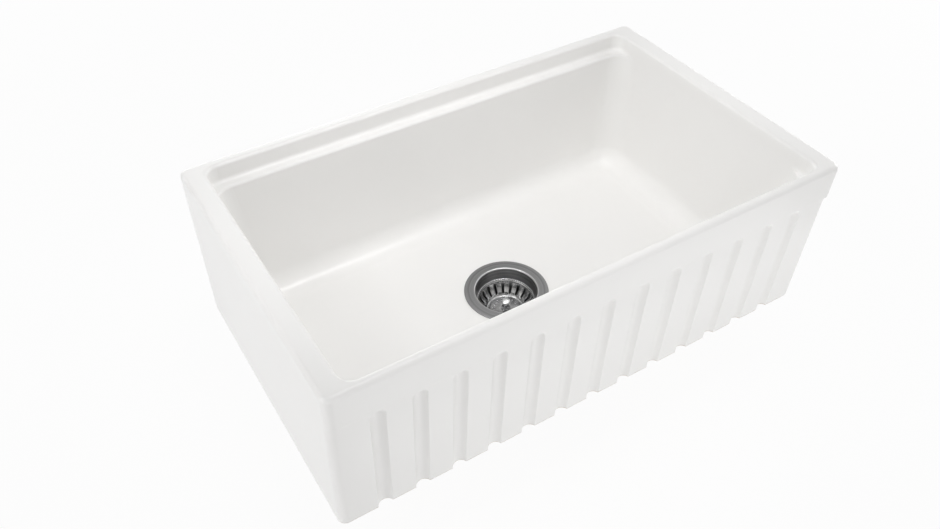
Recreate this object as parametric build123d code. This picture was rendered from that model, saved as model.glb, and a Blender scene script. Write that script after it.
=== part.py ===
from build123d import *
from math import cos, radians, sin, tan
import os

# A farmhouse sink: one glazed fireclay basin with a fluted apron and an inner ledge, and the
# basket strainer that drains it. Millimetres, +Z up, +X to the right of someone facing the
# apron, which looks along -Y. The origin is the middle of the basin's underside.

# ---- Basin: outside
basin_width = 762.0
basin_depth = 457.2
basin_height = 254.0
front_lean = 2.12  # degrees that the whole apron leans inwards towards its foot
corner_radius = 11.0
foot_round = 1.6
rim_outer_round = 7.0
rim_inner_round = 5.0
least_rim_flat = 0.8

# ---- Basin: apron
band_height = 57.0  # plain band above the flutes
rib_setback = 4.0  # how far the ribs stand behind the band
band_round_steps = 4
flute_width = 20.0
flute_depth = 7.0
flute_pitch = 53.4
flute_top_below_band = 3.0
flute_edge_round = 1.5
end_land = 60.0  # least distance from the last flute's middle to the basin's side

# ---- Basin: inside
side_rim = 29.5
back_rim = 17.6
front_rim = 13.1
ledge_drop = 28.0  # from the rim to the ledge that boards and racks slide on
ledge_width = 15.3
ledge_cove = 6.0
ledge_lip_round = 4.0
lip_round_steps = 4
mouth_corner = 18.0
bowl_corner = 30.0
bowl_draft = 1.7  # degrees
floor_thickness = 22.0
floor_round = 35.0
floor_corner_extra = 9.0  # how much wider the bowl's corner is than the floor's round

# ---- Basin: drain opening
drain_hole_radius = 50.0
drain_hole_round = 2.0
nut_seat_radius = 66.0  # spot face round the hole on the underside
nut_seat_depth = 1.5

# ---- Strainer body, a deep-drawn steel cup
cup_sheet = 1.2
flange_radius = 64.0
flange_seal_thickness = 0.8
flange_edge_gap = 0.2
flange_edge_round = 1.5
mouth_radius = 47.2
mouth_round = 2.0
cup_depth_below_underside = 28.0
cup_floor_round = 5.0
seat_bend = 2.0
throat_radius = 20.4

# ---- Basket, a slotted steel cup that lifts out
basket_sheet = 0.8
basket_rim_radius = 43.1
basket_rim_z = 4.9
basket_lip_radius = 40.7
basket_lip_z = -0.6
basket_shoulder_radius = 38.6
basket_shoulder_z = -7.0
basket_trough_radius = 29.0
basket_trough_z = -18.6
basket_disc_radius = 24.5
basket_disc_z = -14.6
trough_width = 3.2
basket_bend = 1.6
seat_gap = 0.3  # air between the basket and what it rests on
slot_count = 20
slot_width = 3.3
slot_inner_radius = 31.2
slot_outer_radius = 42.0
slot_top_z = -2.0
first_slot_angle = 9.6
crumb_hole_count = 14
crumb_hole_radius = 1.2
crumb_hole_circle = 18.3

# ---- Basket: knob, post and stopper
post_radius = 3.0
post_clearance = 0.1
post_tip_z = -58.0
detent_groove_depth = 0.5
detent_groove_length = 2.4
open_lift = 8.0  # how far the knob is pulled up to let water out
knob_foot_radius = 7.0
knob_waist_radius = 4.6
knob_head_radius = 6.8
knob_height = 17.0
knob_foot_edge = 1.2
knob_crown_height = 3.2
knob_hole_depth = 10.0
stopper_radius = 25.5
stopper_hub_radius = 15.6
stopper_lip_thickness = 2.6
stopper_lip_width = 4.3
stopper_core_thickness = 9.0
stopper_washer_radius = 13.0
stopper_washer_thickness = 1.2
stopper_nut_across_flats = 10.0
stopper_nut_height = 5.0

# ---- Outlet: spud, crossbar and clip
spud_flange_radius = 31.0
spud_flange_thickness = 4.0
spud_thread_radius = 23.6
spud_bore_radius = 18.4
spud_length = 34.8
crossbar_ledge_depth = 10.8
crossbar_height = 4.0
crossbar_clearance = 0.1
crossbar_arms = 4
crossbar_arm_width = 3.6
hub_radius = 7.0
hub_height = 8.0
clip_sheet = 0.4
clip_sleeve_radius = 4.6
clip_flange_radius = 6.2
clip_throat_radius = 3.4
clip_reach = 12.0
clip_finger_gap = 1.0
clip_fingers = 4

# ---- Clamping parts under the basin
thread_clearance = 0.15
gasket_thickness = 4.0
gasket_radius = 62.0
gasket_inner_radius = 45.6
friction_ring_thickness = 1.0
friction_ring_radius = 60.0
lock_nut_height = 12.0
lock_nut_radius = 51.5
lock_nut_lugs = 6
lock_nut_lug_reach = 5.5
lock_nut_lug_width = 12.0
lock_nut_lug_round = 3.0
metal_edge = 0.8  # chamfer that turned and cast metal edges get
rubber_edge = 1.0
nut_corner_slope = 30.0  # degrees at which a nut's corners are turned off

# ---- Tailpiece and its coupling
tailpiece_radius = 19.05
tailpiece_wall = 1.0
tailpiece_flange_radius = 23.0
tailpiece_flange_thickness = 1.2
tailpiece_length = 101.6
tailpiece_washer_thickness = 2.0
coupling_nut_across_flats = 56.0
coupling_nut_sides = 8
coupling_nut_engagement = 12.0
coupling_nut_lip = 3.0
coupling_nut_lip_clearance = 1.05

# ---- Levels that more than one piece uses
rim_z = basin_height
back_y = basin_depth / 2
ledge_z = rim_z - ledge_drop
band_foot_z = rim_z - band_height
nut_seat_z = nut_seat_depth
flange_underside_z = floor_thickness + flange_seal_thickness
flange_top_z = flange_underside_z + cup_sheet
cup_floor_z = -cup_depth_below_underside
spud_top_z = cup_floor_z - cup_sheet
spud_end_z = spud_top_z - spud_length
crossbar_seat_z = spud_top_z - crossbar_ledge_depth
crossbar_pocket_radius = (spud_bore_radius + spud_thread_radius) / 2
hub_top_z = crossbar_seat_z + (crossbar_height + hub_height) / 2
gasket_foot_z = nut_seat_z - gasket_thickness
friction_ring_foot_z = gasket_foot_z - friction_ring_thickness
tail_flange_top_z = spud_end_z - tailpiece_washer_thickness
tail_flange_foot_z = tail_flange_top_z - tailpiece_flange_thickness
disc_underside_z = basket_disc_z - basket_sheet
stopper_foot_z = cup_floor_z + seat_gap
washer_top_z = disc_underside_z - stopper_core_thickness
washer_foot_z = washer_top_z - stopper_washer_thickness


# ---- Ways of making a shape


def turned(*points):
    """A solid of revolution about Z from the corners (radius, height) of its half section."""
    return revolve(Plane.XZ * make_face(Polyline(*points, close=True)), Axis.Z)


def ring(inner_radius, outer_radius, foot_z, top_z):
    outer_wall = (outer_radius, foot_z), (outer_radius, top_z)
    return turned((inner_radius, foot_z), *outer_wall, (inner_radius, top_z))


def turned_sheet(path, bends, thickness):
    """Sheet turned about Z. The path is its upper face, walked inwards, and bends are its radii."""
    upper = FilletPolyline(*path, radius=bends).wire()
    section = upper.offset_2d(thickness, kind=Kind.ARC, side=Side.LEFT, closed=True)
    return revolve(Plane.XZ * Face(section), Axis.Z)


def bevel(body, radius, size):
    """Chamfers the round edges of one radius."""
    edges = body.edges().filter_by(GeomType.CIRCLE)
    return chamfer(edges.filter_by(lambda edge: abs(edge.radius - radius) < size / 10), size)


def nut_blank(across_flats, sides, foot_z, top_z):
    """A prism whose corners are turned off at both ends, as a nut's are."""
    flat_radius = across_flats / 2
    corner_radius = flat_radius / cos(radians(180 / sides))
    drop = (corner_radius - flat_radius) * tan(radians(nut_corner_slope))
    flats = RegularPolygon(flat_radius, sides, major_radius=False)
    prism = extrude(Pos(0, 0, foot_z) * flats, top_z - foot_z)
    barrel = turned(
        (0, foot_z),
        (flat_radius, foot_z),
        (corner_radius, foot_z + drop),
        (corner_radius, top_z - drop),
        (flat_radius, top_z),
        (0, top_z),
    )
    return prism & barrel


def around(count, shape, first_angle=0.0):
    return [Rot(Z=first_angle + 360 / count * turn) * shape for turn in range(count)]


# ---- Basin


def front_y(z):
    """Where the band's face is, or would be, at a height: it leans in from under the rim's round."""
    return -basin_depth / 2 + (rim_z - rim_outer_round - z) * tan(radians(front_lean))


def outside_plan(z, setback):
    front = front_y(z) + setback
    return Pos(0, (back_y + front) / 2, z) * RectangleRounded(basin_width, back_y - front, corner_radius)


def basin_outside():
    """Walls that lean with the apron, stepping out from the ribs to the band in a quarter round."""
    plans = [outside_plan(0, rib_setback)]
    for step in range(band_round_steps + 1):
        turn = radians(90 * step / band_round_steps)
        rise, setback = rib_setback * (1 - cos(turn)), rib_setback * (1 - sin(turn))
        plans.append(outside_plan(band_foot_z + rise, setback))
    plans.append(outside_plan(rim_z, 0))
    body = loft(plans, ruled=True)
    body = fillet(body.faces().sort_by(Axis.Z)[0].edges(), foot_round)
    widest_round = front_rim - rim_inner_round - least_rim_flat
    return fillet(body.faces().sort_by(Axis.Z)[-1].edges(), min(rim_outer_round, widest_round))


def flute_cutter(x):
    """A round-nosed cutter that follows the ribs' lean and runs out through the foot."""
    cutter_radius = (flute_width**2 / 4 + flute_depth**2) / (2 * flute_depth)
    stand_off = rib_setback - (cutter_radius - flute_depth) / cos(radians(front_lean))
    run_out_z = -flute_width
    nose_z = band_foot_z - flute_top_below_band - flute_width / 2
    start = Vector(x, front_y(run_out_z) + stand_off, run_out_z)
    nose = Vector(x, front_y(nose_z) + stand_off, nose_z)
    shank = extrude(Plane(origin=start, z_dir=nose - start) * Circle(cutter_radius), (nose - start).length)
    return shank + Pos(nose) * Sphere(cutter_radius)


def cut_flutes(body):
    count = int((basin_width - 2 * end_land) / flute_pitch) + 1
    places = [(i - (count - 1) / 2) * flute_pitch for i in range(count)]
    body = body - [flute_cutter(x) for x in places]
    front_faces = body.faces().filter_by(GeomType.PLANE).filter_by(lambda face: face.normal_at().Y < -0.99)
    ribs = front_faces.filter_by(lambda face: face.center().Z < band_foot_z).sort_by(SortBy.AREA)[-1]
    nose_z = band_foot_z - flute_top_below_band
    outer_x = places[-1] + flute_pitch / 2

    def is_flute_edge(edge):
        box = edge.bounding_box()
        upright = box.size.Z > flute_width / 4
        return upright and abs(box.center().X) < outer_x and box.max.Z < nose_z + foot_round

    return fillet(ribs.edges().filter_by(is_flute_edge), flute_edge_round)


def mouth_cutter():
    """The basin's mouth down to the ledge, with a cove along the foot of its walls."""
    front, back = -basin_depth / 2 + front_rim, back_y - back_rim
    plan = RectangleRounded(basin_width - 2 * side_rim, back - front, mouth_corner)
    cutter = extrude(Pos(0, (front + back) / 2, ledge_z) * plan, 2 * ledge_drop)
    return fillet(cutter.faces().sort_by(Axis.Z)[0].edges(), ledge_cove)


def bowl_cutter():
    """The bowl under the ledge: drafted walls, a rounded lip along the ledge and a soft floor edge."""
    width = basin_width - 2 * side_rim
    front = -basin_depth / 2 + front_rim + ledge_width
    back = back_y - back_rim - ledge_width

    def plan(z, inset, lip, corner):
        shape = RectangleRounded(width - 2 * inset, back - front + 2 * (lip - inset), corner)
        return Pos(0, (front + back) / 2, z) * shape

    lip_foot_z = ledge_z - ledge_lip_round
    floor_inset = (lip_foot_z - floor_thickness) * tan(radians(bowl_draft))
    plans = [plan(floor_thickness, floor_inset, 0, floor_round + floor_corner_extra)]
    for step in range(lip_round_steps + 1):
        turn = radians(90 * step / lip_round_steps)
        rise, spread = ledge_lip_round * sin(turn), ledge_lip_round * (1 - cos(turn))
        plans.append(plan(lip_foot_z + rise, 0, spread, bowl_corner))
    plans.append(plan(rim_z + ledge_drop, 0, ledge_lip_round, bowl_corner))
    cutter = loft(plans, ruled=True)
    return fillet(cutter.faces().sort_by(Axis.Z)[0].edges(), floor_round)


def fireclay_basin():
    body = cut_flutes(basin_outside()) - bowl_cutter() - mouth_cutter()
    top_face = body.faces().filter_by(Axis.Z).sort_by(Axis.Z)[-1]
    body = fillet(top_face.inner_wires().edges(), rim_inner_round)
    body -= Pos(0, 0, floor_thickness / 2) * Cylinder(drain_hole_radius, 2 * floor_thickness)
    level_faces = body.faces().filter_by(Axis.Z)
    floor_face = level_faces.filter_by(lambda face: 0 < face.center().Z < ledge_z).sort_by(SortBy.AREA)[-1]
    body = fillet(floor_face.inner_wires().edges(), drain_hole_round)
    return body - ring(drain_hole_radius - drain_hole_round, nut_seat_radius, -floor_thickness, nut_seat_z)


# ---- Strainer body and the parts that clamp it to the basin


def basket_slope(distance):
    """The basket's rim line moved outwards, square to itself, by a distance: the seat follows it."""
    along = Vector(basket_lip_radius - basket_rim_radius, basket_lip_z - basket_rim_z).normalized()
    outwards = Vector(-along.Y, along.X) * distance
    rim = Vector(basket_rim_radius, basket_rim_z) + outwards
    lip = Vector(basket_lip_radius, basket_lip_z) + outwards
    return (rim.X, rim.Y), (lip.X, lip.Y)


seat_top, seat_foot = basket_slope(basket_sheet + seat_gap)
cup_inner_radius = seat_foot[0]
cup_outer_radius = cup_inner_radius + cup_sheet


def strainer_body():
    path = [
        (flange_radius, floor_thickness + flange_edge_gap),
        (flange_radius, flange_top_z),
        (mouth_radius, flange_top_z),
        seat_top,
        seat_foot,
        (cup_inner_radius, cup_floor_z),
        (throat_radius, cup_floor_z),
    ]
    bends = [flange_edge_round, mouth_round, seat_bend, seat_bend, cup_floor_round]
    return turned_sheet(path, bends, cup_sheet)


def flange_seal():
    inner_radius = drain_hole_radius + drain_hole_round
    outer_radius = flange_radius - flange_edge_round
    return ring(inner_radius, outer_radius, floor_thickness, flange_underside_z)


def under_gasket():
    body = ring(gasket_inner_radius, gasket_radius, gasket_foot_z, nut_seat_z)
    return bevel(body, gasket_radius, rubber_edge)


def friction_ring():
    return ring(gasket_inner_radius, friction_ring_radius, friction_ring_foot_z, gasket_foot_z)


def lock_nut():
    foot_z = friction_ring_foot_z - lock_nut_height
    lug_length = lock_nut_radius + lock_nut_lug_reach - cup_outer_radius
    lug = Pos(cup_outer_radius, 0, foot_z) * Box(
        lug_length, lock_nut_lug_width, lock_nut_height, align=(Align.MIN, Align.CENTER, Align.MIN)
    )
    lug = fillet(lug.edges().filter_by(Axis.Z).sort_by(Axis.X)[-2:], lock_nut_lug_round)
    body = ring(cup_outer_radius, lock_nut_radius, foot_z, friction_ring_foot_z)
    body += around(lock_nut_lugs, lug)

    def is_outer_end(edge):
        middle = edge.center()
        level = edge.bounding_box().size.Z < metal_edge
        return level and Vector(middle.X, middle.Y).length > lock_nut_radius - metal_edge

    body = chamfer(body.edges().filter_by(is_outer_end), metal_edge)
    return body - ring(0, cup_outer_radius + thread_clearance, foot_z - 1, friction_ring_foot_z + 1)


# ---- Outlet


def outlet_spud():
    flange_foot_z = spud_top_z - spud_flange_thickness
    body = turned(
        (spud_bore_radius, spud_end_z),
        (spud_thread_radius, spud_end_z),
        (spud_thread_radius, flange_foot_z),
        (spud_flange_radius, flange_foot_z),
        (spud_flange_radius, spud_top_z),
        (crossbar_pocket_radius, spud_top_z),
        (crossbar_pocket_radius, crossbar_seat_z),
        (spud_bore_radius, crossbar_seat_z),
    )
    return bevel(body, spud_flange_radius, metal_edge)


def crossbar():
    """A ring that drops onto the spud's ledge, with arms to the hub that guides the basket's post."""
    ring_radius = crossbar_pocket_radius - crossbar_clearance
    top_z = crossbar_seat_z + crossbar_height
    arm = Pos(0, 0, crossbar_seat_z) * Box(
        spud_bore_radius + crossbar_clearance,
        crossbar_arm_width,
        crossbar_height,
        align=(Align.MIN, Align.CENTER, Align.MIN),
    )
    rim = ring(spud_bore_radius, ring_radius, crossbar_seat_z, top_z)
    hub = ring(0, hub_radius, hub_top_z - hub_height, hub_top_z)
    bore = Pos(0, 0, hub_top_z) * Cylinder(clip_sleeve_radius + crossbar_clearance, 4 * hub_height)
    return rim + around(crossbar_arms, arm) + hub - bore


def detent_clip():
    """A slit spring sleeve in the hub, whose fingers close in round the post."""
    top_z = hub_top_z + clip_sheet
    sleeve_foot_z = hub_top_z - hub_height
    inner_radius = clip_sleeve_radius - clip_sheet
    path = [
        (clip_flange_radius, top_z),
        (inner_radius, top_z),
        (inner_radius, sleeve_foot_z),
        (clip_throat_radius, hub_top_z - clip_reach),
        (inner_radius, hub_top_z - clip_reach - 2 * clip_finger_gap),
    ]
    sleeve = turned_sheet(path, [clip_sheet, clip_sheet, clip_sheet], clip_sheet)
    slit = Pos(0, 0, sleeve_foot_z + clip_finger_gap) * Box(
        clip_flange_radius, clip_finger_gap, clip_reach, align=(Align.MIN, Align.CENTER, Align.MAX)
    )
    return sleeve - around(clip_fingers, slit, 45)


def tailpiece_washer():
    return ring(spud_bore_radius, tailpiece_flange_radius, tail_flange_top_z, spud_end_z)


def coupling_nut():
    bore_radius = spud_thread_radius + thread_clearance
    foot_z = tail_flange_foot_z - coupling_nut_lip
    top_z = spud_end_z + coupling_nut_engagement
    body = nut_blank(coupling_nut_across_flats, coupling_nut_sides, foot_z, top_z)
    lip_radius = tailpiece_radius + coupling_nut_lip_clearance
    return body - ring(0, lip_radius, foot_z - 1, top_z) - ring(0, bore_radius, tail_flange_foot_z, top_z + 1)


def tailpiece():
    bore_radius = tailpiece_radius - tailpiece_wall
    foot_z = tail_flange_top_z - tailpiece_length
    return turned(
        (bore_radius, foot_z),
        (tailpiece_radius, foot_z),
        (tailpiece_radius, tail_flange_foot_z),
        (tailpiece_flange_radius, tail_flange_foot_z),
        (tailpiece_flange_radius, tail_flange_top_z),
        (bore_radius, tail_flange_top_z),
    )


# ---- Basket


def basket_shell():
    post_hole = post_radius + post_clearance
    path = [
        (basket_rim_radius, basket_rim_z),
        (basket_lip_radius, basket_lip_z),
        (basket_shoulder_radius, basket_shoulder_z),
        (basket_trough_radius, basket_trough_z),
        (basket_trough_radius - trough_width, basket_trough_z),
        (basket_disc_radius, basket_disc_z),
        (post_hole, basket_disc_z),
    ]
    shell = turned_sheet(path, [basket_bend] * 5, basket_sheet)
    slot_length = slot_outer_radius - slot_inner_radius
    slot_middle = (slot_outer_radius + slot_inner_radius) / 2
    slot_foot_z = basket_trough_z - basket_sheet
    slot_plan = Pos(slot_middle, 0, slot_foot_z) * SlotOverall(slot_length, slot_width)
    slot = extrude(slot_plan, slot_top_z - slot_foot_z)
    hole = Pos(crumb_hole_circle, 0, basket_disc_z) * Cylinder(crumb_hole_radius, 4 * basket_sheet)
    return shell - around(slot_count, slot, first_slot_angle) - around(crumb_hole_count, hole)


def basket_knob():
    """A waisted, domed knob on the basket's raised disc, hollow below for the post's end."""
    top_z = basket_disc_z + knob_height
    hole_radius = post_radius + post_clearance
    hole_top_z = basket_disc_z + knob_hole_depth
    crown_z = top_z - knob_crown_height
    waist_z = (basket_disc_z + knob_foot_edge + crown_z) / 2
    foot = Line((hole_radius, basket_disc_z), (knob_foot_radius, basket_disc_z))
    side = Line(foot @ 1, (knob_foot_radius, basket_disc_z + knob_foot_edge))
    waist = ThreePointArc(side @ 1, (knob_waist_radius, waist_z), (knob_head_radius, crown_z))
    crown = TangentArc((0, top_z), waist @ 1, tangent=(1, 0))
    hollow = Polyline((0, top_z), (0, hole_top_z), (hole_radius, hole_top_z), foot @ 0)
    return revolve(Plane.XZ * make_face([foot, side, waist, crown, hollow]), Axis.Z)


def basket_post():
    """The post that the knob pulls. Its grooves take the clip's fingers, shut and pulled up."""
    top_z = basket_disc_z + knob_hole_depth - post_clearance
    length = top_z - post_tip_z
    post = Pos(0, 0, post_tip_z) * Cylinder(
        post_radius, length, align=(Align.CENTER, Align.CENTER, Align.MIN)
    )
    post = fillet(post.edges().filter_by(GeomType.CIRCLE).sort_by(Axis.Z)[0], post_radius / 3)
    shut_groove_z = hub_top_z - clip_reach
    for groove_z in (shut_groove_z, shut_groove_z - open_lift):
        half = detent_groove_length / 2
        post -= ring(post_radius - detent_groove_depth, 2 * post_radius, groove_z - half, groove_z + half)
    return post


def stopper():
    """The rubber plug under the basket: a hub, and a skirt whose lip closes the cup's throat."""
    bore = post_radius + post_clearance
    skirt_top_z = stopper_foot_z + stopper_lip_thickness
    waist_z = (disc_underside_z + skirt_top_z) / 2
    return turned(
        (bore, washer_top_z),
        (stopper_washer_radius + post_clearance, washer_top_z),
        (stopper_radius - stopper_lip_width, stopper_foot_z),
        (stopper_radius, stopper_foot_z),
        (stopper_radius, skirt_top_z),
        (stopper_hub_radius, waist_z),
        (stopper_hub_radius, disc_underside_z),
        (bore, disc_underside_z),
    )


def stopper_washer():
    return ring(post_radius + post_clearance, stopper_washer_radius, washer_foot_z, washer_top_z)


def stopper_nut():
    foot_z = washer_foot_z - stopper_nut_height
    body = nut_blank(stopper_nut_across_flats, 6, foot_z, washer_foot_z)
    return body - Pos(0, 0, foot_z) * Cylinder(post_radius + post_clearance, 4 * stopper_nut_height)


pieces = {
    "fireclay_basin": fireclay_basin,
    "strainer_body": strainer_body,
    "flange_seal": flange_seal,
    "under_gasket": under_gasket,
    "friction_ring": friction_ring,
    "lock_nut": lock_nut,
    "outlet_spud": outlet_spud,
    "crossbar": crossbar,
    "detent_clip": detent_clip,
    "tailpiece_washer": tailpiece_washer,
    "coupling_nut": coupling_nut,
    "tailpiece": tailpiece,
    "basket_shell": basket_shell,
    "basket_knob": basket_knob,
    "basket_post": basket_post,
    "stopper": stopper,
    "stopper_washer": stopper_washer,
    "stopper_nut": stopper_nut,
}

os.makedirs("parts", exist_ok=True)
for name, make in pieces.items():
    export_step(make(), f"parts/{name}.step")
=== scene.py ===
# %% [markdown]
# # A fluted farmhouse sink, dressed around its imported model
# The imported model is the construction: every piece at its real size and place. This script only
# gives it looks. It loads that model, hangs a camera and soft light round it, and then takes the
# pieces one at a time, from the big glazed basin down to the nut that nobody sees.

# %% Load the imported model
from math import atan2, hypot, pi, radians

import bmesh
import bpy
import numpy as np
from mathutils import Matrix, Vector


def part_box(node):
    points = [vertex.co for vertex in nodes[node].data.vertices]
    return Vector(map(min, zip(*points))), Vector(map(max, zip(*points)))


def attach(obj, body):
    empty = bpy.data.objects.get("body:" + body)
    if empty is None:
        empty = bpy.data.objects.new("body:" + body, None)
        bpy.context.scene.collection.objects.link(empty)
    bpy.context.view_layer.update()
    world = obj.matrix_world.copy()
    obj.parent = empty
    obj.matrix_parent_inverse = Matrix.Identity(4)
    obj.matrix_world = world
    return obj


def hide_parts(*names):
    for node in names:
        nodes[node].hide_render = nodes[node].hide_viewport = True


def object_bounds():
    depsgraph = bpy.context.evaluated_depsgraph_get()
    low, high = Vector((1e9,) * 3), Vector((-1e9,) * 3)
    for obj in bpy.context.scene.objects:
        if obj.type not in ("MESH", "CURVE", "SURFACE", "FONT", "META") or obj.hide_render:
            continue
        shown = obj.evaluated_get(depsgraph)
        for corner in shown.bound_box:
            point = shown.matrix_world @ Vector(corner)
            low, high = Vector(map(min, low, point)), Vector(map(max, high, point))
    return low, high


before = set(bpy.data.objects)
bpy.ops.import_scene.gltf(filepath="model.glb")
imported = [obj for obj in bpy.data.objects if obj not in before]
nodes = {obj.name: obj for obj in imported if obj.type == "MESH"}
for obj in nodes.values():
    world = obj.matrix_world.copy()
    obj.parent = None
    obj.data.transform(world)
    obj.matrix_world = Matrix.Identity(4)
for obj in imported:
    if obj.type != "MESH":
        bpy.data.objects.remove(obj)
cad_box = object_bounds()
MM = 0.001
print("nodes:", len(nodes))

# %% [markdown]
# The camera stands where the photographer's did: in front of the apron, to its left and well
# above the rim. Its place and aim were solved from the basin's straight edges. Blender's camera
# looks down its own -Z, so it is tipped up from straight down and then turned about Z.

# %% Camera
CAMERA_PLACE = (-0.54395, -0.77481, 0.96491)
CAMERA_YAW = 31.739  # degrees, turned from +Y towards +X
CAMERA_PITCH = 43.233  # degrees below level
FRAME_WIDTH_PX = 940
FOCAL_PX = 881.72
SENSOR_MM = 36.0

camera_data = bpy.data.cameras.new("camera")
camera_data.sensor_width = SENSOR_MM
camera_data.lens = SENSOR_MM * FOCAL_PX / FRAME_WIDTH_PX
camera_data.clip_start = 0.01
camera = bpy.data.objects.new("camera", camera_data)
camera.location = CAMERA_PLACE
camera.rotation_euler = (radians(90 - CAMERA_PITCH), 0, radians(-CAMERA_YAW))
bpy.context.scene.collection.objects.link(camera)
bpy.context.scene.camera = camera
bpy.context.scene.view_settings.view_transform = "Standard"
print("lens:", round(camera_data.lens, 2), "mm")

# %% [markdown]
# Shader maths reads best as plain Python. This small class wraps a socket, and its operators add
# the Math nodes, so `1 - mask * 0.2` is a chain of nodes. `node` makes any other node: settings
# first, then the values or links of its sockets.


# %% Writing node trees as Python
class Wire:
    """A socket in a material's tree. Adding, scaling and so on adds the Math node that does it."""

    def __init__(self, tree, socket):
        self.tree = tree
        self.socket = socket

    def node(self, kind, settings=None, inputs=None, output=0):
        return add_node(self.tree, kind, settings, inputs, output)

    def maths(self, operation, *others):
        values = {place: value for place, value in enumerate((self, *others))}
        return self.node("ShaderNodeMath", {"operation": operation}, values)

    def __add__(self, other):
        return self.maths("ADD", other)

    def __mul__(self, other):
        return self.maths("MULTIPLY", other)

    def __sub__(self, other):
        return self.maths("SUBTRACT", other)

    def __rsub__(self, other):
        return self * -1 + other


def add_node(tree, kind, settings=None, inputs=None, output=0):
    """Adds a node, sets its settings and then its sockets, and returns one of its outputs."""
    made = tree.nodes.new(kind)
    for name, value in (settings or {}).items():
        setattr(made, name, value)
    for name, value in (inputs or {}).items():
        if isinstance(value, Wire):
            tree.links.new(value.socket, made.inputs[name])
        else:
            made.inputs[name].default_value = value
    return Wire(tree, made.outputs[output])


def new_material(name):
    """A material with its tree cleared down to the shader, and the shader's node."""
    material = bpy.data.materials.new(name)
    material.use_nodes = True
    return material, material.node_tree, material.node_tree.nodes["Principled BSDF"]


def connect(shader, name, wire):
    wire.tree.links.new(wire.socket, shader.inputs[name])


def object_place(tree):
    """Where the shaded point is, in metres, in the frame that all the pieces share."""
    return add_node(tree, "ShaderNodeTexCoord", output="Object")


def noise(vector, size, detail=2.0, roughness=0.5):
    """Smooth noise from 0 to 1 whose lumps are about `size` metres across."""
    inputs = {"Vector": vector, "Scale": 1 / size, "Detail": detail, "Roughness": roughness}
    return vector.node("ShaderNodeTexNoise", None, inputs)


def bump(height, distance, strength=1.0, below=None):
    """A Bump node: a height from 0 to 1 stands for `distance` metres."""
    inputs = {"Height": height, "Distance": distance, "Strength": strength}
    if below is not None:
        inputs["Normal"] = below
    return height.node("ShaderNodeBump", None, inputs)


def colour_mix(mask, first, second):
    """From one colour to the other as the mask goes from 0 to 1. Either may be a wire."""
    first, second = (tone if isinstance(tone, Wire) else (*tone, 1.0) for tone in (first, second))
    inputs = {"Factor": mask, "A": first, "B": second}
    return mask.node("ShaderNodeMix", {"data_type": "RGBA"}, inputs, "Result")


# %% [markdown]
# Fireclay is a coarse clay under a thick opaque glaze. The glaze flows a little in the kiln, so
# a broad, low swell stays in it, and under a lamp its skin has a faint orange peel. It looks
# satin here, not mirror-bright, and its white is a touch warm. The basin stands on its underside
# in the kiln, so the glaze is wiped off there: below a slightly wavy line at the foot the bare
# biscuit shows, buff and sandy.

# %% White glaze
GLAZE_WHITE = (0.916, 0.9095, 0.8975)
GLAZE_POOLED = (0.901, 0.8935, 0.8795)
BISCUIT_PALE = (0.62, 0.54, 0.43)
BISCUIT_DARK = (0.45, 0.36, 0.26)
GLAZE_LINE = 0.0022  # the height at which the glaze stops, in metres
GLAZE_IOR = 1.5
COAT_ROUGHNESS = 0.12


def height_and_radius(place):
    """The height of a place, and its distance from the Z axis."""
    parts = place.node("ShaderNodeSeparateXYZ", None, {"Vector": place}).socket.node
    x, y, z = (Wire(place.tree, parts.outputs[axis]) for axis in "XYZ")
    return z, (x * x + y * y).maths("SQRT")


def ramp_between(value, low, high):
    """0 below one value, 1 above the other, and a straight line between them."""
    inputs = {"Value": value, "From Min": low, "From Max": high}
    return value.node("ShaderNodeMapRange", {"clamp": True}, inputs)


def white_glaze():
    material, tree, shader = new_material("white_glaze")
    place = object_place(tree)
    pooled = noise(place, 0.09, 3.0)
    glaze_colour = colour_mix(pooled, GLAZE_WHITE, GLAZE_POOLED)
    sand = noise(place, 0.0016, 4.0, 0.7)
    biscuit_colour = colour_mix(ramp_between(sand, 0.3, 0.7), BISCUIT_PALE, BISCUIT_DARK)
    height = height_and_radius(place)[0] + noise(place, 0.018, 3.0) * 0.0012
    bare = 1 - ramp_between(height, GLAZE_LINE, GLAZE_LINE + 0.0002)
    connect(shader, "Base Color", colour_mix(bare, glaze_colour, biscuit_colour))
    connect(shader, "Roughness", noise(place, 0.02, 3.0) * 0.08 + 0.3 + bare * 0.5)
    connect(shader, "Coat Weight", (1 - bare) * 0.1)
    swell = bump(noise(place, 0.045, 1.0), 0.0003, 0.5)
    peel = bump(noise(place, 0.0022, 2.0), 0.00002, 0.5, swell)
    connect(shader, "Normal", bump(sand * bare, 0.0002, 1.0, peel))
    shader.inputs["IOR"].default_value = GLAZE_IOR
    shader.inputs["Coat Roughness"].default_value = COAT_ROUGHNESS
    return material


# %% [markdown]
# The strainer is spun and brushed on a lathe, so every scratch is a circle about Z. A noise that
# sees only the distance from the axis and the height, squeezed very fine, makes those circles,
# and a second, slow noise round the turn breaks them up.

# %% Spun steel
GUNMETAL_DARK = (0.2, 0.2, 0.204)
GUNMETAL_LIGHT = (0.36, 0.36, 0.365)
FINE_SCRATCH, COARSE_SCRATCH = 0.0006, 0.0028  # widths, in metres


def ring_scratches(place, width):
    """Noise that is the same all round a circle about Z, apart from a slow drift."""
    z, radius = height_and_radius(place)
    drift = noise(place, 0.02, 1.0) * (width * 0.5)
    rings = place.node("ShaderNodeCombineXYZ", None, {"X": radius + drift, "Y": z})
    return noise(rings, width, 3.0, 0.6)


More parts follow.
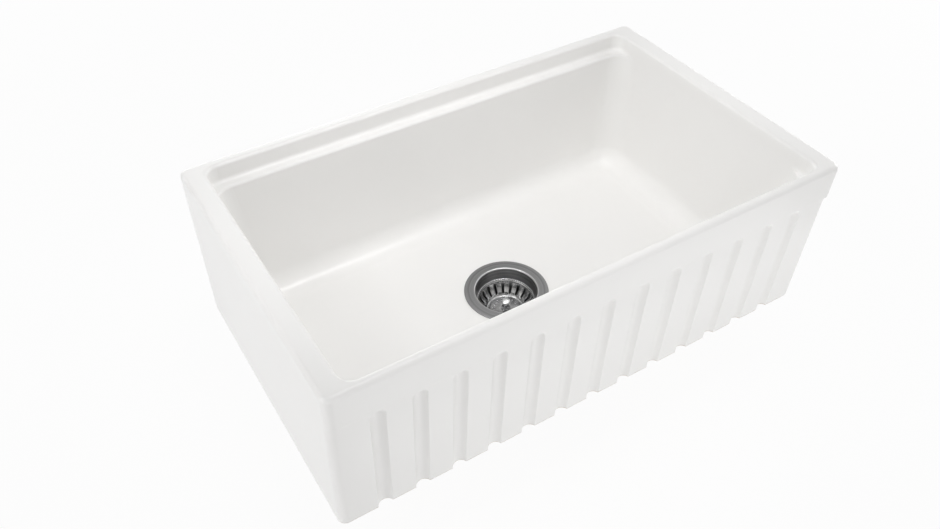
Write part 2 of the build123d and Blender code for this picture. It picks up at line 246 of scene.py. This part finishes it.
def spun_steel(name, dark, light, roughness, depth):
    material, tree, shader = new_material(name)
    place = object_place(tree)
    scratches = ring_scratches(place, FINE_SCRATCH)
    connect(shader, "Base Color", colour_mix(scratches, dark, light))
    connect(shader, "Roughness", scratches * 0.16 + roughness)
    connect(shader, "Normal", bump(scratches, depth, 0.6))
    shader.inputs["Metallic"].default_value = 1.0
    return material


# %% [markdown]
# The strainer's colour has light and shade painted into it. A lighter ring at the round of its mouth,
# lighter strips on the basket and a near-white crown on the knob are painted highlights. The crease
# between the basket's upright band and its slope is painted darker, as shade, and the basket's disc
# is left darker than its strips. Masks on the height and on the distance from the axis put them there.

# %% Painted highlights and shade on the strainer's steel
FLANGE_TOP_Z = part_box("strainer_body")[1][2]
KNOB_TOP_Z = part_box("basket_knob")[1][2]
# A painted highlight: a lighter ring round the mouth's round, between these distances from the axis.
MOUTH_HIGHLIGHT_RADII = (0.0466, 0.0486)  # distances from the axis, in metres
# The height of the basket's crease, which is painted darker, as shade.
CREASE_Z = -0.0075
# Inside the first distance the disc is left darker; past the second, the strips get the painted sheen.
DISC_RADIUS = (0.0245, 0.0275)  # where the disc's dull face gives way to the strips
# The grey of the painted highlight at the mouth.
MOUTH_HIGHLIGHT_GREY = (0.48, 0.48, 0.48)
STRAINER_DARK, STRAINER_LIGHT = (0.15, 0.15, 0.152), (0.36, 0.36, 0.362)
# The basket's two tones: a random tone wanders between them, the light one is also painted sheen on the
# strips, and the dark one painted shade in the crease.
BASKET_DARK_TONE_AND_SHADE, BASKET_LIGHT_TONE_AND_SHEEN = (0.17, 0.17, 0.172), (0.56, 0.56, 0.56)
# The crown's near white is a painted highlight.
KNOB_DARK, KNOB_LIGHT, KNOB_CROWN_HIGHLIGHT = (0.28, 0.28, 0.282), (0.42, 0.42, 0.422), (0.82, 0.82, 0.82)


def band(value, low, high, fade):
    """1 between two values, and fading to 0 outside them."""
    return ramp_between(value, low - fade, low) * (1 - ramp_between(value, high, high + fade))


def strainer_steel():
    material, tree, shader = new_material("strainer_steel")
    place = object_place(tree)
    z, radius = height_and_radius(place)
    fine, coarse = ring_scratches(place, FINE_SCRATCH), ring_scratches(place, COARSE_SCRATCH)
    brushed = ramp_between(fine * 0.45 + coarse * 0.55, 0.36, 0.64)
    near_top = ramp_between(z, FLANGE_TOP_Z - 0.003, FLANGE_TOP_Z - 0.0015)
    # A painted highlight: a lighter ring at the round of the mouth, near the flange's top.
    mouth_highlight_mask = band(radius, *MOUTH_HIGHLIGHT_RADII, 0.0005) * near_top
    steel = colour_mix(brushed, STRAINER_DARK, STRAINER_LIGHT)
    connect(shader, "Base Color", colour_mix(mouth_highlight_mask, steel, MOUTH_HIGHLIGHT_GREY))
    connect(shader, "Roughness", fine * 0.16 + 0.24)
    connect(shader, "Normal", bump(brushed, 0.00004, 0.6))
    shader.inputs["Metallic"].default_value = 1.0
    return material


def basket_steel():
    material, tree, shader = new_material("basket_steel")
    place = object_place(tree)
    fine = ring_scratches(place, FINE_SCRATCH)
    patches = ramp_between(noise(place, 0.012, 2.0, 0.6), 0.35, 0.65)
    z, radius = height_and_radius(place)
    # Painted light: the strips are lighter away from the crease and the disc, and the crease is painted
    # shade. The two noises are the steel's own tone.
    painted_sheen_and_crease_shade = ramp_between((z - CREASE_Z).maths("ABSOLUTE"), 0.0008, 0.003)
    tone_and_painted_sheen = fine * 0.25 + patches * 0.4 + painted_sheen_and_crease_shade * ramp_between(radius, *DISC_RADIUS) * 0.35
    connect(shader, "Base Color", colour_mix(tone_and_painted_sheen, BASKET_DARK_TONE_AND_SHADE, BASKET_LIGHT_TONE_AND_SHEEN))
    connect(shader, "Roughness", fine * 0.1 + 0.1)
    connect(shader, "Normal", bump(fine, 0.00001, 0.6))
    shader.inputs["Metallic"].default_value = 1.0
    return material


def knob_steel():
    material, tree, shader = new_material("knob_steel")
    place = object_place(tree)
    fine = ring_scratches(place, FINE_SCRATCH)
    crown = ramp_between(height_and_radius(place)[0], KNOB_TOP_Z - 0.0035, KNOB_TOP_Z - 0.002)
    steel = colour_mix(fine, KNOB_DARK, KNOB_LIGHT)
    # A painted highlight: the knob's crown is made near white.
    connect(shader, "Base Color", colour_mix(crown, steel, KNOB_CROWN_HIGHLIGHT))
    connect(shader, "Roughness", fine * 0.1 + 0.1 + crown * 0.12)
    connect(shader, "Normal", bump(fine, 0.00001, 0.6))
    shader.inputs["Metallic"].default_value = 1.0
    return material


print("flange top at z =", round(FLANGE_TOP_Z, 4), "m, knob top at z =", round(KNOB_TOP_Z, 4), "m")

# %% [markdown]
# Below the basin are the plainer finishes: turned brass, a chromed tube, black rubber, pressed
# fibre, sealant and the white plastic washer.

# %% Finishes below the basin


def plain_finish(name, dark, light, roughness, metallic, lump, depth):
    """A colour that wanders between two tones, with a bump of its own scale."""
    material, tree, shader = new_material(name)
    place = object_place(tree)
    tone = noise(place, lump, 4.0, 0.6)
    connect(shader, "Base Color", colour_mix(tone, dark, light))
    connect(shader, "Roughness", noise(place, lump * 3, 2.0) * 0.15 + roughness)
    connect(shader, "Normal", bump(tone, depth, 0.6))
    shader.inputs["Metallic"].default_value = metallic
    return material


# %% Give every piece its finish
glaze = white_glaze()
basket_tone_and_sheen = basket_steel()
gunmetal = spun_steel("gunmetal_steel", GUNMETAL_DARK, GUNMETAL_LIGHT, 0.26, 0.00005)
plain_steel = spun_steel("plain_steel", (0.5, 0.5, 0.51), (0.62, 0.62, 0.63), 0.3, 0.00002)
turned_brass = spun_steel("turned_brass", (0.55, 0.38, 0.15), (0.72, 0.55, 0.27), 0.3, 0.00003)
# A lighter copy of the steel for the basket's rim bead and crumb-hole lips: their rounds are real, and their
# lighter colour is a painted glint.
glint_steel = spun_steel("glint_edge_steel", (0.62, 0.62, 0.63), (0.75, 0.75, 0.76), 0.16, 0.00001)
chromed_tube = spun_steel("chromed_tube", (0.72, 0.72, 0.73), (0.8, 0.8, 0.81), 0.08, 0.000005)
black_rubber = plain_finish("black_rubber", (0.015,) * 3, (0.03,) * 3, 0.55, 0.0, 0.0015, 0.00005)
pressed_fibre = plain_finish("pressed_fibre", (0.2, 0.1, 0.055), (0.36, 0.2, 0.12), 0.7, 0.0, 0.001, 0.0001)
sealant = plain_finish("sealant", (0.8, 0.8, 0.78), (0.86, 0.86, 0.84), 0.5, 0.0, 0.003, 0.0001)
white_plastic = plain_finish("white_plastic", (0.8, 0.8, 0.78), (0.86, 0.86, 0.84), 0.35, 0.0, 0.002, 0.00002)

FINISHES = {
    "fireclay_basin": glaze,
    "strainer_body": strainer_steel(),
    "flange_seal": sealant,
    "under_gasket": black_rubber,
    "friction_ring": pressed_fibre,
    "lock_nut": turned_brass,
    "outlet_spud": turned_brass,
    "crossbar": plain_steel,
    "detent_clip": plain_steel,
    "tailpiece_washer": white_plastic,
    "coupling_nut": turned_brass,
    "tailpiece": chromed_tube,
    "basket_shell": basket_tone_and_sheen,
    "basket_knob": knob_steel(),
    "basket_post": plain_steel,
    "stopper": black_rubber,
    "stopper_washer": plain_steel,
    "stopper_nut": plain_steel,
}
for name, finish in FINISHES.items():
    for slot in nodes[name].material_slots:
        slot.material = finish
print("finished nodes:", len(FINISHES))

# %% [markdown]
# Some detail is too fine for the solids: the threads, the rolled rim of the basket and the raised lips
# of its crumb holes. The rim and the lips are real rounds, but their steel is made lighter than the
# basket's, which paints glints on them. Each is a closed surface turned about Z. A section is a ring
# of corners (radius, height) in millimetres, walked anticlockwise, so that its faces look outwards.

# %% Turning a section about Z
TURN_STEPS = 144
SHARP_ANGLE = 35  # degrees; an edge that turns by more than this stays sharp


def closed_grid(rows, columns):
    """The quads of a grid of points that joins up with itself both ways, as a torus does."""
    row, column = np.meshgrid(np.arange(rows), np.arange(columns), indexing="ij")
    here, below, beside = row * columns, (row + 1) % rows * columns, (column + 1) % columns
    quads = (here + column, here + beside, below + beside, below + column)
    return np.stack(quads, axis=-1).reshape(-1, 4)


def add_piece(name, points, quads, body, material):
    """Makes the object, in metres, puts it on its body and gives it its finish."""
    mesh = bpy.data.meshes.new(name)
    mesh.from_pydata((points.reshape(-1, 3) * MM).tolist(), [], quads.tolist())
    mesh.shade_smooth()
    mesh.set_sharp_from_angle(angle=radians(SHARP_ANGLE))
    mesh.materials.append(material)
    piece = bpy.data.objects.new(name, mesh)
    bpy.context.scene.collection.objects.link(piece)
    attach(piece, body)
    print(name, len(quads), "quads")
    return piece


def turned_points(section, lift=None):
    """P(u, v) = (r cos u, r sin u, z), where r = r(v) + lift(u, z) on the rows marked as threaded."""
    radius, height = section[:, 0:1], section[:, 1:2]
    u = np.linspace(0, 2 * pi, TURN_STEPS, endpoint=False)[None, :]
    if lift is not None:
        radius = radius + section[:, 2:3] * lift(u, height)
    return np.stack([radius * np.cos(u), radius * np.sin(u), height + 0 * u], axis=-1)


def helix(pitch, depth, low, high):
    """lift(u, z) of a thread: a flat-topped ridge of z / pitch - u / 2 pi, run out at both ends."""

    def lift(u, z):
        phase = (z / pitch - u / (2 * pi)) % 1
        ridge = np.clip(1.7 - 4.4 * np.abs(phase - 0.5), 0, 1)
        return depth * ridge * np.clip(np.minimum(z - low, high - z) / pitch, 0, 1)

    return lift


def threaded_wall(radius, low, high, pitch):
    """The rows of a wall that a thread is cut on, nine to a turn, going up."""
    rows = np.arange(low, high, pitch / 9)
    return np.stack([np.full_like(rows, radius), rows, np.ones_like(rows)], axis=-1)


def plain_corners(*corners):
    return np.array([(radius, height, 0) for radius, height in corners])


# %% Threads of the outlet and of the cup
SPUD_TOP, SPUD_END, SPUD_LEDGE, SPUD_FLANGE_FOOT = -29.2, -64.0, -40.0, -33.2
SPUD_CREST, SPUD_BORE, SPUD_POCKET, SPUD_FLANGE = 23.6, 18.4, 21.0, 31.0
SPUD_PITCH, SPUD_DEPTH = 2.2, 1.0
EDGE = 0.8

spud_root = SPUD_CREST - SPUD_DEPTH
spud_section = np.concatenate(
    [
        plain_corners((SPUD_BORE, SPUD_END), (spud_root - EDGE, SPUD_END)),
        threaded_wall(spud_root, SPUD_END + EDGE, SPUD_FLANGE_FOOT - EDGE, SPUD_PITCH),
        plain_corners(
            (spud_root, SPUD_FLANGE_FOOT),
            (SPUD_FLANGE - EDGE, SPUD_FLANGE_FOOT),
            (SPUD_FLANGE, SPUD_FLANGE_FOOT + EDGE),
            (SPUD_FLANGE, SPUD_TOP - EDGE),
            (SPUD_FLANGE - EDGE, SPUD_TOP),
            (SPUD_POCKET, SPUD_TOP),
            (SPUD_POCKET, SPUD_LEDGE),
            (SPUD_BORE, SPUD_LEDGE),
        ),
    ]
)
spud_thread = helix(SPUD_PITCH, SPUD_DEPTH, SPUD_END + EDGE, SPUD_FLANGE_FOOT - EDGE)
spud_points = turned_points(spud_section, spud_thread)
spud_quads = closed_grid(len(spud_section), TURN_STEPS)
spud = add_piece("threaded_spud", spud_points, spud_quads, "basin", turned_brass)
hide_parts("outlet_spud")

CUP_OUTER, CUP_SHEET = 42.908, 1.2
CUP_THREAD_TOP, CUP_THREAD_FOOT = -15.9, -23.4
CUP_PITCH, CUP_DEPTH = 2.4, 0.7

cup_section = np.concatenate(
    [
        plain_corners((CUP_OUTER - CUP_SHEET / 2, CUP_THREAD_FOOT), (CUP_OUTER + 0.02, CUP_THREAD_FOOT)),
        threaded_wall(CUP_OUTER + 0.03, CUP_THREAD_FOOT + 0.1, CUP_THREAD_TOP - 0.1, CUP_PITCH),
        plain_corners((CUP_OUTER + 0.02, CUP_THREAD_TOP), (CUP_OUTER - CUP_SHEET / 2, CUP_THREAD_TOP)),
    ]
)
cup_thread = helix(CUP_PITCH, CUP_DEPTH, CUP_THREAD_FOOT, CUP_THREAD_TOP + CUP_PITCH)
cup_points = turned_points(cup_section, cup_thread)
cup_quads = closed_grid(len(cup_section), TURN_STEPS)
add_piece("cup_thread", cup_points, cup_quads, "basin", gunmetal)

# %% The basket's rolled rim and crumb hole edges
BEAD_CENTRE, BEAD_RADIUS = (43.47, 4.74), 0.55
ROUND_STEPS = 16

v = np.linspace(0, 2 * pi, ROUND_STEPS, endpoint=False)
bead_section = np.stack(
    [BEAD_CENTRE[0] + BEAD_RADIUS * np.cos(v), BEAD_CENTRE[1] + BEAD_RADIUS * np.sin(v)], axis=-1
)
add_piece(
    "basket_rim_bead",
    turned_points(bead_section),
    closed_grid(ROUND_STEPS, TURN_STEPS),
    "basket",
    glint_steel,
)

HOLES, HOLE_CIRCLE, DISC_TOP = 14, 18.3, -14.6
LIP_MIDDLE, LIP_RADIUS, LIP_STEPS = 1.52, 0.32, 24

hole, round_hole, round_lip = np.meshgrid(
    np.arange(HOLES) * 2 * pi / HOLES,
    np.linspace(0, 2 * pi, LIP_STEPS, endpoint=False),
    v,
    indexing="ij",
)
reach = LIP_MIDDLE + LIP_RADIUS * np.cos(round_lip)
lip_points = np.stack(
    [
        HOLE_CIRCLE * np.cos(hole) + reach * np.cos(round_hole),
        HOLE_CIRCLE * np.sin(hole) + reach * np.sin(round_hole),
        DISC_TOP + LIP_RADIUS * np.sin(round_lip),
    ],
    axis=-1,
)
one_lip = closed_grid(LIP_STEPS, ROUND_STEPS)[:, ::-1]
lip_quads = (one_lip[None] + (np.arange(HOLES) * LIP_STEPS * ROUND_STEPS)[:, None, None]).reshape(-1, 4)
add_piece("crumb_hole_lips", lip_points, lip_quads, "basket", glint_steel)

# %% [markdown]
# The basket is one disc of sheet that a press draws into a cup and pierces. Its upper face is worked
# out here, with the slots and holes left open, and Solidify gives it the sheet's thickness. The face
# is a grid: its rows follow the section from the rim inwards, and its columns go round. In each
# sector the columns squeeze together, so that they fill the strip between two slots, and the strip
# bulges a little, as pierced strips do. The slots are wedges, widest under the rim.

# %% The basket's section
BASKET_CORNERS = np.array(
    [(43.1, 4.9), (40.7, -0.6), (38.6, -7.0), (29.0, -18.6), (25.8, -18.6), (24.5, -14.6), (21.6, -14.6)]
)
BASKET_BEND = 2.0  # the length over which a corner of the section is rounded
BASKET_SHEET = 0.8

runs = np.diff(BASKET_CORNERS, axis=0)
run_ends = np.concatenate([[0], np.cumsum(np.hypot(*runs.T))])
SECTION_LENGTH = run_ends[-1]


def straight_section(at):
    """The section's place at a distance from the rim: runs joined at sharp corners, long at both ends."""
    run = np.clip(np.searchsorted(run_ends, at, side="right") - 1, 0, len(runs) - 1)
    share = (at - run_ends[run]) / np.hypot(*runs.T)[run]
    return BASKET_CORNERS[run] + runs[run] * share[..., None]


def rounded_section(at):
    """The mean of straight_section over BASKET_BEND around each distance, which rounds the corners."""
    around = np.linspace(-0.5, 0.5, 21) * BASKET_BEND
    return straight_section(at[:, None] + around).mean(axis=1)


print("section:", round(float(SECTION_LENGTH), 2), "mm long")

# %% The basket's strips and slots
SLOTS, FIRST_SLOT, STRIP_COLUMNS = 20, 9.6, 7
SLOT_TOP, SLOT_FOOT = 5.5, 24.4  # distances from the rim along the section
SLOT_TOP_WIDTH, SLOT_FOOT_WIDTH, SLOT_ROUND = 4.1, 2.3, 1.3
RIDGE_PLACE, RIDGE_HEIGHT, RIDGE_WIDTH = 3.0, 0.45, 0.7
STRIP_CROWN, CROWN_FADE = 0.5, 3.0

distance = np.concatenate(
    [
        np.linspace(0, SLOT_TOP, 9)[:-1],
        np.linspace(SLOT_TOP, SLOT_FOOT, 24)[:-1],
        np.linspace(SLOT_FOOT, SECTION_LENGTH, 18),
    ]
)
section = rounded_section(distance)
along = rounded_section(distance + 0.05) - rounded_section(distance - 0.05)
upwards = np.stack([along[:, 1], -along[:, 0]], axis=-1) / np.hypot(*along.T)[:, None]

from_end = np.clip(np.minimum(distance - SLOT_TOP, SLOT_FOOT - distance), 0, None)
taper = np.interp(distance, [SLOT_TOP, SLOT_FOOT], [SLOT_TOP_WIDTH, SLOT_FOOT_WIDTH])
slot_width = taper * np.sqrt(1 - (1 - np.minimum(from_end / SLOT_ROUND, 1)) ** 2)

row, strip, column = np.meshgrid(
    np.arange(len(distance)), np.arange(SLOTS), np.arange(STRIP_COLUMNS + 1), indexing="ij"
)
pitch = 2 * pi / SLOTS
across = column / STRIP_COLUMNS
slot_edge = (slot_width / 2 / section[:, 0])[row]
disc_turn = radians(360 / SLOTS * 4 / STRIP_COLUMNS - FIRST_SLOT) * np.clip((distance - SLOT_FOOT) / 3, 0, 1)
turn = radians(FIRST_SLOT) + strip * pitch + slot_edge + (pitch - 2 * slot_edge) * across + disc_turn[row]
ridge = RIDGE_HEIGHT * np.exp(-(((distance - RIDGE_PLACE) / RIDGE_WIDTH) ** 2))
crown = STRIP_CROWN * np.minimum(from_end / CROWN_FADE, 1)
lift = ridge[row] + crown[row] * (1 - (2 * across - 1) ** 2)
reach = section[row, 0] + upwards[row, 0] * lift
strip_points = np.stack(
    [reach * np.cos(turn), reach * np.sin(turn), section[row, 1] + upwards[row, 1] * lift], axis=-1
)

number = (row * SLOTS + strip) * (STRIP_COLUMNS + 1) + column
strip_quads = np.stack(
    [number[:-1, :, :-1], number[:-1, :, 1:], number[1:, :, 1:], number[1:, :, :-1]], axis=-1
)
print("strips:", SLOTS, "of", STRIP_COLUMNS, "columns")

# %% [markdown]
# Round each crumb hole the disc's face is a patch. Its rows are rings that go from the hole's circle
# to the edges of its sector, each a mix of the two. The sectors' edges have the same 140 points as
# the strips' last row, so when double points are merged, the sheet is whole.

# %% The basket's disc
RING_POINTS = SLOTS * STRIP_COLUMNS
PATCH_POINTS = RING_POINTS // HOLES
PATCH_INNER, PATCH_SIDE, POST_HOLE, HOLE_RADIUS = 15.0, 6, 3.1, 1.2
MIDDLE_ROWS = 8

half_sector = pi / HOLES
outer, inner = np.full(PATCH_POINTS, section[-1, 0]), np.full(PATCH_POINTS, PATCH_INNER)
inwards = np.linspace(section[-1, 0], PATCH_INNER, PATCH_SIDE, endpoint=False)
outwards = np.linspace(PATCH_INNER, section[-1, 0], PATCH_SIDE, endpoint=False)
swing = np.linspace(-half_sector, half_sector, PATCH_POINTS, endpoint=False)
edge_radius = np.concatenate([outer, inwards, inner, outwards])
edge_turn = np.concatenate(
    [swing, np.full(PATCH_SIDE, half_sector), -swing, np.full(PATCH_SIDE, -half_sector)]
)
edge_x, edge_y = edge_radius * np.cos(edge_turn), edge_radius * np.sin(edge_turn)
bearing = np.arctan2(edge_y, edge_x - HOLE_CIRCLE)
share = np.array([0, 0.12, 0.35, 0.65, 1])[:, None]
patch_x = (HOLE_CIRCLE + HOLE_RADIUS * np.cos(bearing)) * (1 - share) + edge_x * share
patch_y = HOLE_RADIUS * np.sin(bearing) * (1 - share) + edge_y * share
sector = (np.arange(HOLES) * 2 * half_sector)[:, None, None]
patch_points = np.stack(
    [
        patch_x * np.cos(sector) - patch_y * np.sin(sector),
        patch_x * np.sin(sector) + patch_y * np.cos(sector),
        np.full((HOLES, *patch_x.shape), DISC_TOP),
    ],
    axis=-1,
)


def ring_quads(count, rows, columns):
    """The quads of `count` patches whose columns close into a ring and whose rows don't."""
    patch, row, column = np.meshgrid(np.arange(count), np.arange(rows - 1), np.arange(columns), indexing="ij")
    here = (patch * rows + row) * columns
    beside = (column + 1) % columns
    quads = (here + column, here + columns + column, here + columns + beside, here + beside)
    return np.stack(quads, axis=-1).reshape(-1, 4)


middle_radius = np.linspace(POST_HOLE, PATCH_INNER, MIDDLE_ROWS)[:, None]
middle_turn = np.arange(RING_POINTS) * 2 * pi / RING_POINTS
middle_points = np.stack(
    [
        middle_radius * np.cos(middle_turn),
        middle_radius * np.sin(middle_turn),
        np.full((MIDDLE_ROWS, RING_POINTS), DISC_TOP),
    ],
    axis=-1,
)

grids = [
    (strip_points, strip_quads),
    (patch_points, ring_quads(HOLES, *patch_x.shape)),
    (middle_points, ring_quads(1, *middle_points.shape[:2])),
]
firsts = np.cumsum([0] + [points.size // 3 for points, quads in grids])
basket_points = np.concatenate([points.reshape(-1, 3) for points, quads in grids])
basket_quads = np.concatenate([quads.reshape(-1, 4) + first for (points, quads), first in zip(grids, firsts)])
basket = add_piece("slotted_basket", basket_points, basket_quads, "basket", basket_tone_and_sheen)
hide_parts("basket_shell")

sheet = bmesh.new()
sheet.from_mesh(basket.data)
bmesh.ops.remove_doubles(sheet, verts=sheet.verts, dist=0.01 * MM)
sheet.to_mesh(basket.data)
sheet.free()
wall = basket.modifiers.new("sheet", "SOLIDIFY")
wall.thickness, wall.offset, wall.use_even_offset = BASKET_SHEET * MM, -1, True
soft_edges = basket.modifiers.new("soft_edges", "SUBSURF")
soft_edges.levels = soft_edges.render_levels = 1
print("slotted_basket:", len(basket.data.vertices), "points after merging")

# %% [markdown]
# A product shot on white. The floor's and the sky's white comes from Light Path, for the camera
# and for reflections. Glaze and steel mirror it, but it throws no diffuse light on them. The floor
# keeps a little of its own shading, which is where a faint shadow shows.

# %% Floor
FLOOR_GAP = 0.0005
FLOOR_SIZE = 12.0
FLOOR_Z = cad_box[0][2] - FLOOR_GAP
FLOOR_WHITE = 0.95  # the rest is the floor's own shading, with the shadow in it


def seen_white(tree, lit, share):
    """Mixes plain white into what the camera, reflections and rays that pass through see."""
    path = tree.nodes.new("ShaderNodeLightPath")
    camera_ray, glossy_ray, passing_ray = (
        Wire(tree, path.outputs[f"Is {kind} Ray"]) for kind in ("Camera", "Glossy", "Transmission")
    )
    seen = camera_ray.maths("MAXIMUM", passing_ray).maths("MAXIMUM", glossy_ray)
    return lit.node("ShaderNodeMixShader", None, {0: seen * share, 1: lit, 2: plain_white(tree, lit)})


def plain_white(tree, lit):
    kind = "ShaderNodeBackground" if lit.socket.node.type == "BACKGROUND" else "ShaderNodeEmission"
    return add_node(tree, kind, None, {"Color": (1, 1, 1, 1), "Strength": 1.0})


floor_mesh = bpy.data.meshes.new("floor")
half = FLOOR_SIZE / 2
corner_signs = ((-1, -1), (1, -1), (1, 1), (-1, 1))
floor_corners = [(half * right, half * back, FLOOR_Z) for right, back in corner_signs]
floor_mesh.from_pydata(floor_corners, [], [(0, 1, 2, 3)])
floor = bpy.data.objects.new("floor", floor_mesh)
bpy.context.scene.collection.objects.link(floor)
floor_paint, floor_tree, floor_shader = new_material("white_floor")
floor_shader.inputs["Base Color"].default_value = (0.8, 0.8, 0.8, 1)
floor_shader.inputs["Roughness"].default_value = 0.9
floor_seen = seen_white(floor_tree, Wire(floor_tree, floor_shader.outputs[0]), FLOOR_WHITE)
floor_tree.links.new(floor_seen.socket, floor_tree.nodes["Material Output"].inputs["Surface"])
floor_mesh.materials.append(floor_paint)
print("floor at z =", round(FLOOR_Z, 4), "m")

# %% World
WORLD_STRENGTH = 0.283

world = bpy.data.worlds.new("studio")
bpy.context.scene.world = world
world.use_nodes = True
sky_tree = world.node_tree
sky = sky_tree.nodes["Background"]
sky.inputs["Color"].default_value = (1, 1, 1, 1)
sky.inputs["Strength"].default_value = WORLD_STRENGTH
sky_seen = seen_white(sky_tree, Wire(sky_tree, sky.outputs[0]), 1.0)
sky_tree.links.new(sky_seen.socket, sky_tree.nodes["World Output"].inputs["Surface"])

# %% [markdown]
# The photograph's light was worked out by lighting the model with one lamp at a time and finding
# the strengths whose sum comes closest, and then all were turned down a little. A softbox hangs
# over the bowl and a second one slants into it from the left. Large boxes stand left, right and
# behind. In front a low, wide box shines into the flutes, and a card on the table lights the band's
# underside. An even sky fills in the rest.

# %% Lamps
MIDDLE = (0, 0, 0.12)
UPWARDS = 10.0  # a height to aim at for a lamp that lies on the floor
BOX_DISTANCE, BOX_HEIGHT, BOX_SIZE = 2.85, 1.05, (2, 2)  # the boxes left, right and behind
BOWL_SPREAD = 60  # degrees, the beam of the two lamps over the bowl


def soft_lamp(name, place, aim, size, power, spread=180):
    """A flat lamp of (width, height) at `place` that faces `aim`, hidden from the camera."""
    data = bpy.data.lights.new(name, "AREA")
    data.shape = "RECTANGLE"
    data.size, data.size_y = size
    data.energy = power
    data.spread = radians(spread)
    lamp = bpy.data.objects.new(name, data)
    lamp.location = place
    step = [a - p for a, p in zip(aim, place)]
    level = hypot(step[0], step[1])
    lamp.rotation_euler = (atan2(level, -step[2]), 0, atan2(step[1], step[0]) - pi / 2 if level else 0)
    lamp.visible_camera = False
    bpy.context.scene.collection.objects.link(lamp)


soft_lamp("bowl_lamp", (0, -0.3, 1.3), (0, 0.12, 0), (0.8, 0.25), 0.946, BOWL_SPREAD)
soft_lamp("slant_lamp", (-0.95, -0.05, 1.2), (0.25, 0.05, 0.1), (0.3, 0.4), 0.351, BOWL_SPREAD)
soft_lamp("right_lamp", (BOX_DISTANCE, 0, BOX_HEIGHT), MIDDLE, BOX_SIZE, 39)
soft_lamp("left_lamp", (-BOX_DISTANCE, 0, BOX_HEIGHT), MIDDLE, BOX_SIZE, 24.4)
soft_lamp("back_lamp", (0, BOX_DISTANCE, BOX_HEIGHT), MIDDLE, BOX_SIZE, 23.4)
soft_lamp("flute_lamp", (-0.673, -2.511, 0.165), MIDDLE, (1.6, 0.5), 10.3)
soft_lamp("front_card", (0.2, -0.85, FLOOR_Z + 0.01), (0.2, -0.85, UPWARDS), (1, 1), 2.05)
soft_lamp("table_glow", (0, 0, FLOOR_Z + 0.005), (0, 0, UPWARDS), (5, 5), 7.4)
